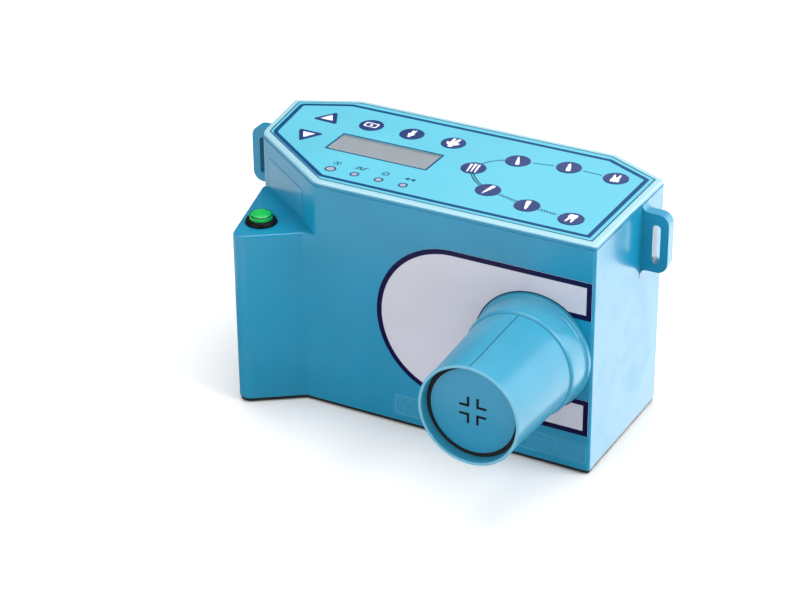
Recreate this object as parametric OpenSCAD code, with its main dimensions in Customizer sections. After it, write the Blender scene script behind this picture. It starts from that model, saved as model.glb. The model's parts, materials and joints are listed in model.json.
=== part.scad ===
// Portable dental x-ray unit: blue moulded case with a membrane panel on top,
// a beam cone on the front face, a hand grip with the exposure button on its
// ledge, two strap lugs and the generator, battery and boards inside.
// Millimetres. +Z up, the cone points along -Y, the panel is read from +Y.
// Origin: middle of the case footprint, on the table under the rubber feet.

/* [Case] */
// Case width without the flare of its left wall
body_w = 239; // [232:1:250]
// Case depth without the grip
body_d = 112; // [108:1:124]
// Height of the case walls above the base plate
body_h = 142; // [138:1:150]
// Wall thickness
wall = 3; // [2.4:0.2:3.4]
// Height of the grip ledge above the base plate
ledge_h = 107.5; // [100:0.5:112]
// Reach of the hand grip in front of the front face
grip_reach = 19.5; // [16:0.5:22]
// Length of the front chamfer along the front face
chamfer_x = 61.5; // [56:0.5:64]
// Length of the front chamfer along the side
chamfer_y = 45; // [42:0.5:48]
// Base plate thickness
base_t = 2; // [2:0.2:2.6]
// Rubber foot height below the base plate
foot_h = 1; // [0.6:0.2:2]

/* [Panel] */
// Width of the rim round the panel plate
rim_w = 4.1; // [3.4:0.1:4.6]
// Panel plate thickness
panel_t = 2.5; // [2.2:0.1:2.8]
// Diameter of the round keys
key_d = 14.6; // [12:0.2:15]
// Key travel
key_travel = 0.4; // [0.2:0.05:0.4]
// Display window length
lcd_w = 64.5; // [58:0.5:66]
// Display window height
lcd_h = 21; // [16:0.5:22]
// Diameter of the small indicator windows
led_d = 3.6; // [3:0.2:4.4]
// Diameter of the large indicator window
led_big_d = 4.8; // [4:0.2:6]

/* [Cone] */
// Cone axis to the right of the case middle
cone_x = 83.5; // [80:0.5:83.5]
// Cone axis above the base plate
cone_h = 69; // [66:0.5:76]
// Cone length in front of the front face
cone_l = 80; // [70:1:110]
// Cone tip outside diameter
tip_d = 60; // [56:0.5:62]
// Cone outside diameter at its collar
root_d = 64; // [62:0.5:65]
// Depth of the end cap behind the cone rim
cap_recess = 6; // [3:0.5:8]

/* [Exposure button] */
// Button bezel diameter
bezel_d = 19; // [18.4:0.2:22]
// Button cap diameter
cap_d = 13.6; // [12.6:0.2:13.6]
// Button travel
button_travel = 1.8; // [1:0.1:2]

/* [Strap lugs] */
// Reach of each strap lug from the wall
lug_reach = 16.5; // [15:0.5:20]
// Strap lug thickness
lug_t = 7; // [5:0.5:9]
// Strap slot width
slot_w = 4.6; // [4:0.2:5.4]
// Strap slot length
slot_l = 24; // [18:1:26]

/* [Power switch] */
// Rocker swing from off to on, degrees
rocker_swing = 20; // [12:1:20]

/* [Hidden] */
part_fn = 64;
small_fn = 32;
skin = 0.25;
run_gap = 0.15;
z_base = foot_h;
z_case = foot_h + base_t;
z_ledge = z_case + ledge_h;
z_top = z_case + body_h;
half_w = body_w / 2;
front_y = -body_d / 2;
back_y = body_d / 2;
lean = 3;
flare = 3.7;
corner_r = 2;
cheek_r = 12;
nose_r = 6.5;
ledge_r = 1.8;
lip_h = 2.8;
left_back = [-flare - half_w, back_y - 17.5];
left_front = [lean - half_w, front_y + chamfer_y];
chamfer_end = [lean - half_w + chamfer_x, front_y];
grip_nose = [21.5 - half_w, front_y - grip_reach - 4.8];
grip_root = [56 - half_w, front_y];
case_pts = concat(
    [[half_w, front_y], [half_w, back_y - 18.5], [half_w - 37.5, back_y],
     [34 - half_w, back_y], left_back],
    corner_arc(left_back, left_front, chamfer_end, cheek_r),
    corner_arc(left_front, chamfer_end, [half_w, front_y], cheek_r)
);
grip_pts = concat(
    [left_front],
    corner_arc(left_front, grip_nose, grip_root, nose_r),
    [grip_root, [chamfer_end[0] + 20, front_y + chamfer_y]]
);
fill_pts = [
    [grip_root[0] - 20, front_y], [chamfer_end[0] + 4, front_y],
    [chamfer_end[0] + 4, front_y + 20], [grip_root[0] - 20, front_y + 20]
];
plate_z = z_top - panel_t;
lip_t = 4;
board_t = 1.6;
board_z = plate_z - 9.1;
switch_h = 3;
plunger_h = 0.55;
stem_z = board_z + board_t + switch_h + plunger_h + 0.05 + key_travel;
key_proud = 0.35;
led_y = -37.2;
led_x = [-54.8, -39.1, -23.5, -7.9];
led_size = [led_big_d, led_d, led_d, led_d];
lcd_pos = [-38.6, -2.7];
pane_t = 1.1;
key_at = [
    [-62.7, 25.7], [-35.7, 25.8], [-8.3, 25.8],
    [17.3, 0.9], [37.4, -20.9], [65.3, -28.6], [93.8, -32.5],
    [35.7, 21], [65.3, 26.5], [94.9, 25.5]
];
arrow_up_at = [-90.1, -2.5];
arrow_down_at = [-90.2, 23];
arrow_up_turn = -90;
arrow_down_turn = 87;
post_at = [[-78, 38], [8, 38], [50, -5], [104, 0], [18, -36], [-84, -16]];
cone_z = z_case + cone_h;
collar_d = 67.6;
flange_d = 70.4;
flange_t = 3.5;
collar_l = 20;
neck_d = 58.6;
bore_d = 54;
spigot_d = 62;
ring_t = 2.9;
button_at = [-91.6, front_y + 1.3];
lug_y = 6;
lug_z = z_case + 90;
screw_at = [
    [half_w - 6.4, front_y + 6.4], [half_w - 6.4, 28], [0, back_y - 6.4],
    [0, front_y + 6.4], [4.5 - half_w, 24], [24.2 - half_w, front_y - 13]
];
foot_at = [[90, -44], [90, 40], [-96, 36], [-90, -50]];
tank_x = [50.5, 114.5];
tank_y = [front_y + 6.2, 30];
tank_z = [z_case + 21, z_case + 119];
tank_wall = 2.5;
tube_y = front_y + 30;
pack_x = [-106, -30];
pack_y = [-10, 29.2];
cell_d = 18.4;
cell_l = 65;
inv_y = -4;
rail_x = [-24, 38];
rocker_at = [-60, 42];
jack_at = [-32, 42];
navy = [0.05, 0.12, 0.42];
blue = [0.36, 0.66, 0.8];

// ---- shared outlines -------------------------------------------------------

// Points of the arc of radius r that rounds corner b between a and c.
function corner_arc(a, b, c, r, steps = 7) =
    let (u = (a - b) / norm(a - b), v = (c - b) / norm(c - b))
    let (half = acos(u * v) / 2, m = (u + v) / norm(u + v))
    let (o = b + m * r / sin(half), s = b + u * r / tan(half) - o)
    let (turn = (180 - 2 * half) * (cross(u, v) < 0 ? 1 : -1))
    [for (k = [0:steps]) let (t = turn * k / steps)
        o + [s[0] * cos(t) - s[1] * sin(t), s[0] * sin(t) + s[1] * cos(t)]];

// Outline pulled in by inset, with its sharp corners rounded.
module soft_outline(inset = 0) {
    r = max(corner_r - inset / 2, 1);
    offset(r = r, $fn = 20)
        offset(delta = -r - inset)
            children();
}

// Case outline at the panel.
module case_outline(inset = 0) {
    soft_outline(inset)
        polygon(case_pts);
}

// Case outline below the ledge, with the hand grip.
module base_outline(inset = 0) {
    soft_outline(inset)
        union() {
            polygon(case_pts);
            polygon(grip_pts);
            polygon(fill_pts);
        }
}

// Layer of the upper case from z0 to z1.
module case_layer(z0, z1, inset = 0) {
    translate([0, 0, z0])
        linear_extrude(z1 - z0)
            case_outline(inset);
}

// Layer of the lower case from z0 to z1.
module base_layer(z0, z1, inset = 0) {
    translate([0, 0, z0])
        linear_extrude(z1 - z0)
            base_outline(inset);
}

// Box between two opposite corners.
module box_between(a, b) {
    translate(a)
        cube(b - a);
}

// Cylinder standing on z0.
module post(at, z0, z1, r, fn = small_fn) {
    translate([at[0], at[1], z0])
        cylinder(h = z1 - z0, r = r, $fn = fn);
}

// Children turned so that their +Z runs along the cone, starting on the front face.
module on_cone_axis() {
    translate([cone_x, front_y, cone_z])
        rotate([90, 0, 0])
            children();
}

// Ring about +Z from a to b along the axis.
module ring(a, b, r_out, r_in, fn = part_fn) {
    translate([0, 0, a])
        difference() {
            cylinder(h = b - a, r = r_out, $fn = fn);
            translate([0, 0, -1])
                cylinder(h = b - a + 2, r = r_in, $fn = fn);
        }
}

// Cylinder along +Z from a to b.
module rod(a, b, r, fn = part_fn) {
    translate([0, 0, a])
        cylinder(h = b - a, r = r, $fn = fn);
}

// ---- case ------------------------------------------------------------------

// Strap lug profile: u is the distance from the wall, v the height.
module lug_profile() {
    offset(r = -4, $fn = 24)
        offset(r = 4, $fn = 24)
            union() {
                translate([0, 9.6])
                    offset(r = 6.5, $fn = 28)
                        offset(delta = -6.5)
                            square([lug_reach, 36.2]);
                translate([-1, 9.6])
                    square([lug_reach - 8, 36.2]);
                translate([-1, 4])
                    square([1.2, 45]);
            }
}

// Strap slot profile.
module slot_profile() {
    r = slot_w / 2;
    translate([lug_reach - 9.5, 15]) {
        translate([0, r])
            square([slot_w, slot_l - slot_w]);
        translate([r, r])
            circle(r = r, $fn = 20);
        translate([r, slot_l - r])
            circle(r = r, $fn = 20);
    }
}

// Strap lug standing on the wall at x, side is 1 to the right and -1 to the left.
module strap_lug(x, side) {
    translate([x, lug_y + lug_t, lug_z])
        mirror([side < 0 ? 1 : 0, 0, 0])
            rotate([90, 0, 0])
                linear_extrude(lug_t)
                    difference() {
                        lug_profile();
                        slot_profile();
                    }
}

// Top edge of an outline, rounded off over height r in two slopes.
module rounded_top(z1, r) {
    levels = [[z1 - r, 0], [z1 - 0.35 * r, 0.27 * r], [z1 - 0.02, 0.85 * r]];
    for (k = [0:1])
        hull()
            for (p = [levels[k], levels[k + 1]])
                translate([0, 0, p[0]])
                    linear_extrude(0.02)
                        soft_outline(p[1])
                            children();
}

// Case body under a lip: the lip stands back a little and its top edge is rounded.
module case_outside() {
    base_layer(z_case, z_ledge - ledge_r);
    case_layer(z_ledge - ledge_r - 1, z_top - lip_h - 0.4);
    case_layer(z_top - lip_h - 1, z_top - lip_h, 0.5);
    case_layer(z_top - lip_h, z_top - 1.6, 0.3);
    rounded_top(z_top, 1.6)
        offset(delta = -0.3)
            polygon(case_pts);
    rounded_top(z_ledge, ledge_r)
        polygon(grip_pts);
    rounded_top(z_ledge, ledge_r)
        polygon(fill_pts);
}

module case_inside() {
    base_layer(z_case - 1, z_ledge - wall, wall);
    case_layer(z_ledge - wall, plate_z - lip_t, wall);
    case_layer(plate_z - lip_t, plate_z, rim_w + 4.4);
    case_layer(plate_z, z_top + 1, rim_w);
}

module case_shell() {
    color(blue)
        difference() {
            union() {
                difference() {
                    case_outside();
                    case_inside();
                }
                strap_lug(half_w, 1);
                strap_lug(2.3 - half_w, -1);
                for (p = screw_at)
                    post(p, z_case + 2, z_case + 13, 4, 24);
            }
            for (p = screw_at)
                post(p, z_case - 1, z_case + 11, 1.5, 16);
            post(button_at, z_ledge - wall - 1, z_ledge + 1, 8.1, part_fn);
            on_cone_axis()
                rod(-wall - 1, 1, neck_d / 2 + 0.1);
            translate([rocker_at[0], back_y, rocker_at[1]])
                cube([13.4, 20, 19.4], center = true);
            translate([jack_at[0], back_y + 5, jack_at[1]])
                rotate([90, 0, 0])
                    cylinder(h = 12, r = 4.1, $fn = small_fn);
        }
}

module base_plate() {
    color([0.1, 0.11, 0.12])
        difference() {
            union() {
                base_layer(z_base, z_case, 0.6);
                difference() {
                    base_layer(z_case, z_case + 2, wall + 0.2);
                    base_layer(z_case - 1, z_case + 3, wall + 2.2);
                    for (p = screw_at)
                        post(p, z_case, z_case + 3, 4.3, 24);
                }
                for (p = tank_feet())
                    post(p, z_case, tank_z[0], 5);
                for (x = rail_x)
                    inverter_rail(x);
            }
            for (p = screw_at)
                post(p, z_base - 1, z_case + 1, 1.7, 16);
            for (p = screw_at)
                post(p, z_base - 1, z_base + 0.9, 3.1, 24);
            for (p = foot_at)
                post(p, z_base - 1, z_base + 1, 7.05);
            for (p = tank_feet())
                post(p, z_base - 1, tank_z[0] + 1, 2.1, 16);
            for (p = tank_feet())
                post(p, z_base - 1, z_base + 1, 3.7, 24);
        }
}

function tank_feet() = [
    [tank_x[0] + 8, tank_y[0] + 9], [tank_x[1] - 8, tank_y[0] + 9],
    [tank_x[0] + 8, tank_y[1] - 9], [tank_x[1] - 8, tank_y[1] - 9]
];

// Upright on the base plate with a groove that holds one edge of the inverter board.
module inverter_rail(x) {
    inner = x < 0 ? 1 : -1;
    difference() {
        box_between([x - 3, inv_y - 3, z_case], [x + 3, inv_y + 3 + board_t, z_case + 40]);
        translate([x + 1.6 * inner - 1.7, inv_y - 0.05, z_case + 6])
            cube([3.4 + 0.02, board_t + 0.1, 40]);
    }
}

module rubber_feet() {
    color([0.09, 0.09, 0.1])
        for (p = foot_at)
            post(p, 0, z_base + 0.95, 7);
}

module base_screws() {
    color([0.66, 0.67, 0.7])
        for (p = screw_at)
            difference() {
                union() {
                    post(p, z_base + 0.1, z_base + 0.85, 2.9, 24);
                    post(p, z_base + 0.1, z_case + 9, 1.45, 16);
                }
                post(p, z_base, z_base + 0.6, 1.1, 6);
            }
}

// ---- panel -----------------------------------------------------------------

// Arrow key outline: rounded triangle pointing along +X.
module arrow_outline(grow = 0) {
    offset(r = 0.9 + grow, $fn = 16)
        polygon([[-3.8, -6.6], [-3.8, 6.6], [7.6, 0]]);
}

module arrow_place(at, turn) {
    translate([at[0], at[1], 0])
        rotate([0, 0, turn])
            children();
}

module panel_plate() {
    color([0.4, 0.84, 0.94])
        difference() {
            union() {
                case_layer(plate_z, z_top, rim_w + 0.35);
                for (p = post_at)
                    post(p, board_z + board_t, plate_z + 0.5, 3, 24);
            }
            for (p = key_at)
                post(p, plate_z - 1, z_top + 1, key_d / 2 + run_gap, 48);
            for (i = [0:3])
                post([led_x[i], led_y], plate_z - 1, z_top + 1, led_size[i] / 2 + 0.1, 24);
            for (p = post_at)
                post(p, board_z, plate_z, 1.25, 12);
            translate([0, 0, plate_z - 1])
                linear_extrude(panel_t + 2) {
                    arrow_place(arrow_up_at, arrow_up_turn)
                        arrow_outline(run_gap);
                    arrow_place(arrow_down_at, arrow_down_turn)
                        arrow_outline(run_gap);
                    translate([lcd_pos[0] - lcd_w / 2, lcd_pos[1] - lcd_h / 2])
                        square([lcd_w, lcd_h]);
                }
        }
}

// Round key: cap, retaining flange under the plate and a stem over its switch.
module round_key(i) {
    color(navy)
        union() {
            post(key_at[i], plate_z - 0.9, z_top + key_proud, key_d / 2, 48);
            post(key_at[i], plate_z - 1.2, plate_z - 0.3, key_d / 2 + 1, 48);
            post(key_at[i], stem_z, plate_z - 0.5, 1.7, 16);
        }
}

// Arrow key with its flange and stem.
module arrow_key(at, turn) {
    color(navy)
        union() {
            arrow_place(at, turn)
                translate([0, 0, plate_z - 0.9])
                    linear_extrude(panel_t + 0.9 + key_proud)
                        arrow_outline();
            arrow_place(at, turn)
                translate([0, 0, plate_z - 1.2])
                    linear_extrude(0.9)
                        arrow_outline(0.9);
            post(at, stem_z, plate_z - 0.5, 1.7, 16);
        }
}

module key_preset() { round_key(0); }
module key_child() { round_key(1); }
module key_adult() { round_key(2); }
module key_lower_1() { round_key(3); }
module key_lower_2() { round_key(4); }
module key_lower_3() { round_key(5); }
module key_lower_4() { round_key(6); }
module key_upper_1() { round_key(7); }
module key_upper_2() { round_key(8); }
module key_upper_3() { round_key(9); }
module key_up() { arrow_key(arrow_up_at, arrow_up_turn); }
module key_down() { arrow_key(arrow_down_at, arrow_down_turn); }

// Box centred on the display, grown in x and y.
module display_box(gx, gy, z0, z1) {
    translate([lcd_pos[0] - lcd_w / 2 - gx, lcd_pos[1] - lcd_h / 2 - gy, z0])
        cube([lcd_w + 2 * gx, lcd_h + 2 * gy, z1 - z0]);
}

module display_window() {
    color([0.78, 0.8, 0.84, 0.4])
        display_box(-0.15, -0.15, z_top - 0.1 - pane_t, z_top - 0.1);
}

module display_frame() {
    color([0.2, 0.22, 0.22])
        difference() {
            union() {
                display_box(7.5, 6.5, board_z + board_t + 0.8, board_z + board_t + 2.4);
                display_box(3.5, 3, board_z + board_t + 2.4, plate_z - 0.1);
                for (sx = [-1, 1])
                    post([lcd_pos[0] + sx * (lcd_w / 2 + 5.5), lcd_pos[1]],
                        board_z + board_t, board_z + board_t + 1, 1.5, 16);
            }
            display_box(1.6, 1.2, board_z + board_t + 4, plate_z);
        }
}

module display_glass() {
    color([0.66, 0.67, 0.7])
        union() {
            display_box(1.5, 1.1, board_z + board_t + 4, plate_z - 0.2);
            display_box(-0.15, -0.15, plate_z - 0.3, z_top - 0.1 - pane_t);
        }
}

// Indicator light pipe standing on the control board.
module led_pipe(i) {
    color([0.7, 0.72, 0.76])
        post([led_x[i], led_y], board_z + board_t, z_top + 0.05, led_size[i] / 2, 24);
}

module led_left() { led_pipe(0); }
module led_mid_left() { led_pipe(1); }
module led_mid_right() { led_pipe(2); }
module led_right() { led_pipe(3); }

module control_board() {
    color([0.05, 0.36, 0.2])
        difference() {
            case_layer(board_z, board_z + board_t, rim_w + 7);
            for (p = post_at)
                post(p, board_z - 1, board_z + board_t + 1, 1.3, 12);
        }
}

// Square push switch with a round plunger.
module push_switch(at) {
    translate([at[0] - 3, at[1] - 3, board_z + board_t])
        cube([6, 6, switch_h]);
    post(at, board_z + board_t + 1, board_z + board_t + switch_h + plunger_h, 1.6, 16);
}

module key_switches() {
    color([0.14, 0.14, 0.15]) {
        for (p = key_at)
            push_switch(p);
        push_switch(arrow_up_at);
        push_switch(arrow_down_at);
    }
}

module board_screws() {
    color([0.66, 0.67, 0.7])
        for (p = post_at) {
            post(p, board_z - 1.6, board_z, 2.2, 16);
            post(p, board_z - 0.5, board_z + board_t + 5, 1.2, 12);
        }
}

// ---- decals ----------------------------------------------------------------

// Front decal: round left end, straight arms, cut out round the cone and to the right.
module decal_outline() {
    r = 48.2;
    cx = 33.1;
    cz = z_case + 70.6;
    right = half_w - 1.4;
    difference() {
        union() {
            translate([cx, cz])
                circle(r = r, $fn = 72);
            translate([cx, cz - r])
                square([right - cx, 2 * r]);
        }
        translate([cone_x, cone_z])
            circle(r = flange_d / 2 + 0.6, $fn = part_fn);
        translate([cone_x, cz - 25.6])
            square([right - cone_x + 1, 50.6]);
    }
}

module front_decal() {
    color([0.7, 0.73, 0.78])
        translate([0, front_y, 0])
            rotate([90, 0, 0])
                linear_extrude(skin)
                    decal_outline();
}

module front_strip() {
    color([0.4, 0.7, 0.82])
        box_between([-4, front_y - 0.15, z_case + 4.5], [half_w - 2, front_y, z_case + 17]);
}

module side_label() {
    turn = atan2(-chamfer_y, chamfer_x);
    color([0.45, 0.7, 0.8])
        translate([lean - half_w, front_y + chamfer_y, 0])
            rotate([0, 0, turn])
                box_between([10.5, -0.22, z_case + 111.5], [59, -0.02, z_case + 129]);
}

// ---- exposure button -------------------------------------------------------

module button_bezel() {
    rb = bezel_d / 2;
    color([0.05, 0.05, 0.055])
        translate([button_at[0], button_at[1], z_ledge])
            rotate_extrude($fn = part_fn)
                polygon([[cap_d / 2 + run_gap, -2], [cap_d / 2 + run_gap, 2.9],
                    [rb - 2, 2.9], [rb - 0.8, 2.1], [rb, 0.6], [rb, 0], [8, 0], [8, -20],
                    [5.6, -20], [5.6, -4.5], [cap_d / 2 + run_gap, -4.5]]);
}

module button_cap() {
    rc = cap_d / 2;
    color([0.02, 0.72, 0.3])
        translate([button_at[0], button_at[1], z_ledge])
            rotate_extrude($fn = part_fn)
                polygon([[0, -1], [0, 5.9], [4.3, 5.8], [4.4, 5.5], [4.8, 5.5],
                    [4.9, 5.75], [rc - 1.3, 5.6], [rc - 0.4, 5.1], [rc, 4.3],
                    [rc, -2.4], [5.4, -2.4], [5.4, -7.5], [3.4, -7.5], [3.4, -1]]);
}

// Return spring drawn as close coils joined by short risers.
module button_spring() {
    coils = 6;
    coil_z = -11.5;
    pitch = 2;
    color([0.75, 0.76, 0.78])
        translate([button_at[0], button_at[1], z_ledge]) {
            for (k = [0:coils - 1])
                translate([0, 0, coil_z + pitch * k])
                    rotate_extrude($fn = 32)
                        translate([2.5, 0])
                            circle(r = 0.35, $fn = 12);
            for (k = [0:coils - 2])
                rotate([0, 0, 120 * k])
                    translate([2.5, 0, coil_z + pitch * k])
                        cylinder(h = pitch, r = 0.3, $fn = 12);
        }
}

module button_nut() {
    color([0.7, 0.71, 0.73])
        translate([button_at[0], button_at[1], z_ledge - wall - 3.6])
            rotate([0, 0, -15])
                difference() {
                    cylinder(h = 3.5, r = 11, $fn = 6);
                    translate([0, 0, -1])
                        cylinder(h = 6, r = 8.05, $fn = part_fn);
                }
}

module button_switch() {
    color([0.12, 0.12, 0.13])
        translate([button_at[0], button_at[1], z_ledge]) {
            rod(-19.8, -11.9, 5.5, small_fn);
            rod(-12, -8.8, 1.6, 16);
            box_between([-6, -6, -30], [6, 6, -20.1]);
            rod(-21, -19, 4, small_fn);
            for (s = [-1, 1])
                box_between([s * 3.5 - 0.4, -1.2, -35], [s * 3.5 + 0.4, 1.2, -29.5]);
        }
}

// ---- cone ------------------------------------------------------------------

module cone_collar() {
    rf = flange_d / 2;
    rc = collar_d / 2;
    rn = neck_d / 2;
    color(blue)
        on_cone_axis()
            rotate_extrude($fn = part_fn)
                polygon([[bore_d / 2, -wall - 3], [rn, -wall - 3], [rn, 0], [rf, 0],
                    [rf, flange_t - 1], [rf - 0.8, flange_t], [rc + 0.3, flange_t],
                    [rc + 0.3, flange_t + 1], [rc, flange_t + 1.4],
                    [rc - 0.3, collar_l - 1.9], [rc - 0.8, collar_l - 0.6],
                    [rc - 1.6, collar_l],
                    [spigot_d / 2 + 0.05, collar_l], [spigot_d / 2 + 0.05, 5],
                    [bore_d / 2, 5]]);
}

module collar_ring() {
    color([0.2, 0.22, 0.24])
        on_cone_axis()
            ring(-wall - ring_t, -wall, neck_d / 2 + 2.7, neck_d / 2 + 0.05);
}

module cone_tube() {
    r0 = root_d / 2;
    r1 = tip_d / 2;
    seat = cone_l - cap_recess;
    color(blue)
        on_cone_axis()
            rotate_extrude($fn = part_fn)
                polygon([[spigot_d / 2 - 2.4, 5.05], [spigot_d / 2, 5.05],
                    [spigot_d / 2, collar_l + 0.1], [r0, collar_l + 0.1],
                    [r1, cone_l - 12], [r1, cone_l - 0.5], [r1 - 0.5, cone_l],
                    [r1 - 1.5, cone_l], [r1 - 1.9, cone_l - 0.6],
                    [r1 - 2.3, seat - 1.9], [r1 - 5.8, seat - 1.9],
                    [r1 - 5.8, seat - 3.9], [r1 - 2.8, seat - 5.9]]);
}

module cone_gasket() {
    seat = cone_l - cap_recess;
    color([0.02, 0.02, 0.02])
        on_cone_axis()
            ring(seat - 1.9, seat - 0.3, tip_d / 2 - 2.35, tip_d / 2 - 4.75);
}

// Aiming marks: four corner pieces round the beam centre.
module mark_outline() {
    for (sx = [-1, 1])
        for (sy = [-1, 1])
            scale([sx, sy]) {
                translate([2.1, 2])
                    square([6, 1.45]);
                translate([2.1, 2])
                    square([1.45, 6.2]);
            }
}

module cone_cap() {
    seat = cone_l - cap_recess;
    color(blue)
        on_cone_axis()
            difference() {
                rod(seat - 1.9, seat, tip_d / 2 - 4.8);
                translate([0, 0, seat - 0.4])
                    linear_extrude(1)
                        mark_outline();
            }
}

module aim_marks() {
    seat = cone_l - cap_recess;
    color([0.02, 0.02, 0.02])
        on_cone_axis()
            translate([0, 0, seat - 0.4])
                linear_extrude(0.42)
                    mark_outline();
}

// Lead stop in the collar bore with a seat for the filter.
module collimator() {
    color([0.36, 0.38, 0.41])
        on_cone_axis()
            difference() {
                rod(-wall - 2.9, 0.4, bore_d / 2 - 0.05);
                rod(-wall - 4, 2, 9, 48);
                rod(-1.2, 2, 13, 48);
            }
}

module beam_filter() {
    color([0.8, 0.81, 0.83])
        on_cone_axis()
            rod(-1.2, 0.3, 12.95, 48);
}

// ---- generator -------------------------------------------------------------

module tank_body() {
    a = [tank_x[0], tank_y[0], tank_z[0]];
    b = [tank_x[1], tank_y[1], tank_z[1]];
    w = [tank_wall, tank_wall, tank_wall];
    color([0.62, 0.64, 0.67])
        difference() {
            union() {
                difference() {
                    box_between(a, b);
                    box_between(a + w, [b[0] - tank_wall, b[1] + 1, b[2] - tank_wall]);
                }
                for (p = tank_corners())
                    tank_pad(p, tank_y[1] - 14, tank_y[1], 4);
                for (p = tank_feet())
                    post(p, tank_z[0], tank_z[0] + 8, 5, 24);
                for (s = [-1, 1])
                    box_between([cone_x - 9, a[1] + 1, cone_z + 42 * s - 1.5],
                        [cone_x + 9, tube_y + 9, cone_z + 42 * s + 1.5]);
            }
            for (p = tank_corners())
                tank_pad(p, tank_y[1] - 12, tank_y[1] + 1, 1.3);
            for (p = tank_feet())
                post(p, tank_z[0] - 1, tank_z[0] + 7, 1.65, 16);
            translate([cone_x, a[1] + tank_wall - 0.8, cone_z])
                rotate([90, 0, 0])
                    cylinder(h = 4, r = 10, $fn = 48);
            translate([cone_x, tube_y, tank_z[0] + 2.6])
                cylinder(h = tank_z[1] - tank_z[0] - 5.2, r = 6.1, $fn = small_fn);
        }
}

function tank_corners() = [
    [tank_x[0] + 5, tank_z[0] + 5], [tank_x[1] - 5, tank_z[0] + 5],
    [tank_x[0] + 5, tank_z[1] - 5], [tank_x[1] - 5, tank_z[1] - 5]
];

// Round pad along Y at an x, z place.
module tank_pad(p, y0, y1, r) {
    translate([p[0], y0, p[1]])
        rotate([-90, 0, 0])
            cylinder(h = y1 - y0, r = r, $fn = 20);
}

module tank_cover() {
    color([0.55, 0.57, 0.6])
        difference() {
            box_between([tank_x[0], tank_y[1], tank_z[0]], [tank_x[1], tank_y[1] + 3, tank_z[1]]);
            for (p = tank_corners())
                tank_pad(p, tank_y[1] - 1, tank_y[1] + 4, 1.7);
        }
}

module tank_screws() {
    color([0.7, 0.71, 0.73]) {
        for (p = tank_corners()) {
            tank_pad(p, tank_y[1] + 3, tank_y[1] + 5.4, 2.8);
            tank_pad(p, tank_y[1] - 10, tank_y[1] + 3.5, 1.25);
        }
        for (p = tank_feet()) {
            post(p, z_base + 0.1, z_base + 0.95, 3.4, 24);
            post(p, z_base + 0.1, tank_z[0] + 6, 1.6, 16);
        }
    }
}

// Children placed with the focal spot at the origin and the tube axis along Z.
module at_tube() {
    translate([cone_x, tube_y, cone_z])
        children();
}

module tube_glass() {
    color([0.8, 0.88, 0.9, 0.35])
        at_tube()
            rotate_extrude($fn = part_fn)
                polygon([[13.8, -34], [13.8, 34], [8.6, 38.5], [8.6, 39.7], [15, 35],
                    [15, -35], [8.6, -39.7], [8.6, -38.5]]);
}

module tube_anode() {
    color([0.72, 0.42, 0.26])
        at_tube()
            difference() {
                union() {
                    rod(-4, 30, 7, 48);
                    rod(29, 43.5, 6, 48);
                    rod(38.6, 39.6, 8.4, 48);
                }
                translate([0, -5.2, -4.5])
                    rotate([22, 0, 0])
                        translate([-10, -10, -10])
                            cube([20, 20, 10]);
            }
}

module tube_cathode() {
    color([0.75, 0.76, 0.78])
        at_tube()
            difference() {
                union() {
                    rod(-30, -14, 9, 48);
                    rod(-43.5, -29, 6, 48);
                    rod(-39.6, -38.6, 8.4, 48);
                }
                translate([-6, -4.5, -16])
                    cube([12, 3, 4]);
            }
}

core_c = [82.5, 10, 51];

module transformer_core() {
    color([0.2, 0.2, 0.21])
        translate(core_c)
            difference() {
                cube([50, 16, 36], center = true);
                cube([26, 20, 16], center = true);
            }
}

module transformer_coils() {
    color([0.72, 0.45, 0.2])
        translate(core_c)
            for (s = [-1, 1])
                translate([19 * s, 0, 0])
                    difference() {
                        cube([20, 26, 15.6], center = true);
                        cube([12.4, 16.4, 20], center = true);
                    }
}

module multiplier_board() {
    x0 = tank_x[0] + 8;
    color([0.1, 0.42, 0.3]) {
        box_between([x0, 4, 76], [tank_x[1] - 8, 5.6, 112]);
        for (i = [0:3])
            for (j = [0:1])
                translate([x0 + 7 + 11.3 * i, 5.5, 85 + 17 * j])
                    rotate([-90, 0, 0])
                        cylinder(h = 7, r = 4.6, $fn = small_fn);
        for (i = [0:2])
            box_between([x0 + 8 + 12 * i, 1.5, 92], [x0 + 14 + 12 * i, 4.1, 96]);
    }
}

// ---- battery and inverter --------------------------------------------------

module battery_cells() {
    color([0.1, 0.35, 0.62])
        for (i = [0:3])
            for (j = [0:1]) {
                at = [pack_x[0] + 9.7 + i * 18.9, pack_y[0] + 10.3 + j * 18.9];
                post(at, z_case + 2.1, z_case + 2 + cell_l, cell_d / 2);
                post(at, z_case + cell_l, z_case + 3 + cell_l, 3.2, 16);
            }
}

module battery_tray() {
    a = [pack_x[0] - 1.4, pack_y[0] - 1, z_case];
    b = [pack_x[1] + 1.4, pack_y[1] + 1, z_case + 22];
    w = [1.5, 1.5, 2];
    color([0.15, 0.16, 0.17])
        difference() {
            box_between(a, b);
            box_between(a + w, [b[0] - 1.5, b[1] - 1.5, b[2] + 1]);
        }
}

module inverter_board() {
    color([0.06, 0.34, 0.18])
        box_between([rail_x[0], inv_y, z_case + 6.1], [rail_x[1], inv_y + board_t, z_case + 112]);
}

module inverter_parts() {
    y = inv_y + board_t;
    color([0.2, 0.21, 0.24]) {
        for (i = [0:2])
            translate([-9 + 15 * i, y, z_case + 96])
                rotate([-90, 0, 0])
                    cylinder(h = 20, r = 6.2, $fn = small_fn);
        box_between([-12, y, z_case + 16], [12, y + 14, z_case + 38]);
        box_between([16, y, z_case + 50], [28, y + 8, z_case + 60]);
    }
}

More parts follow.
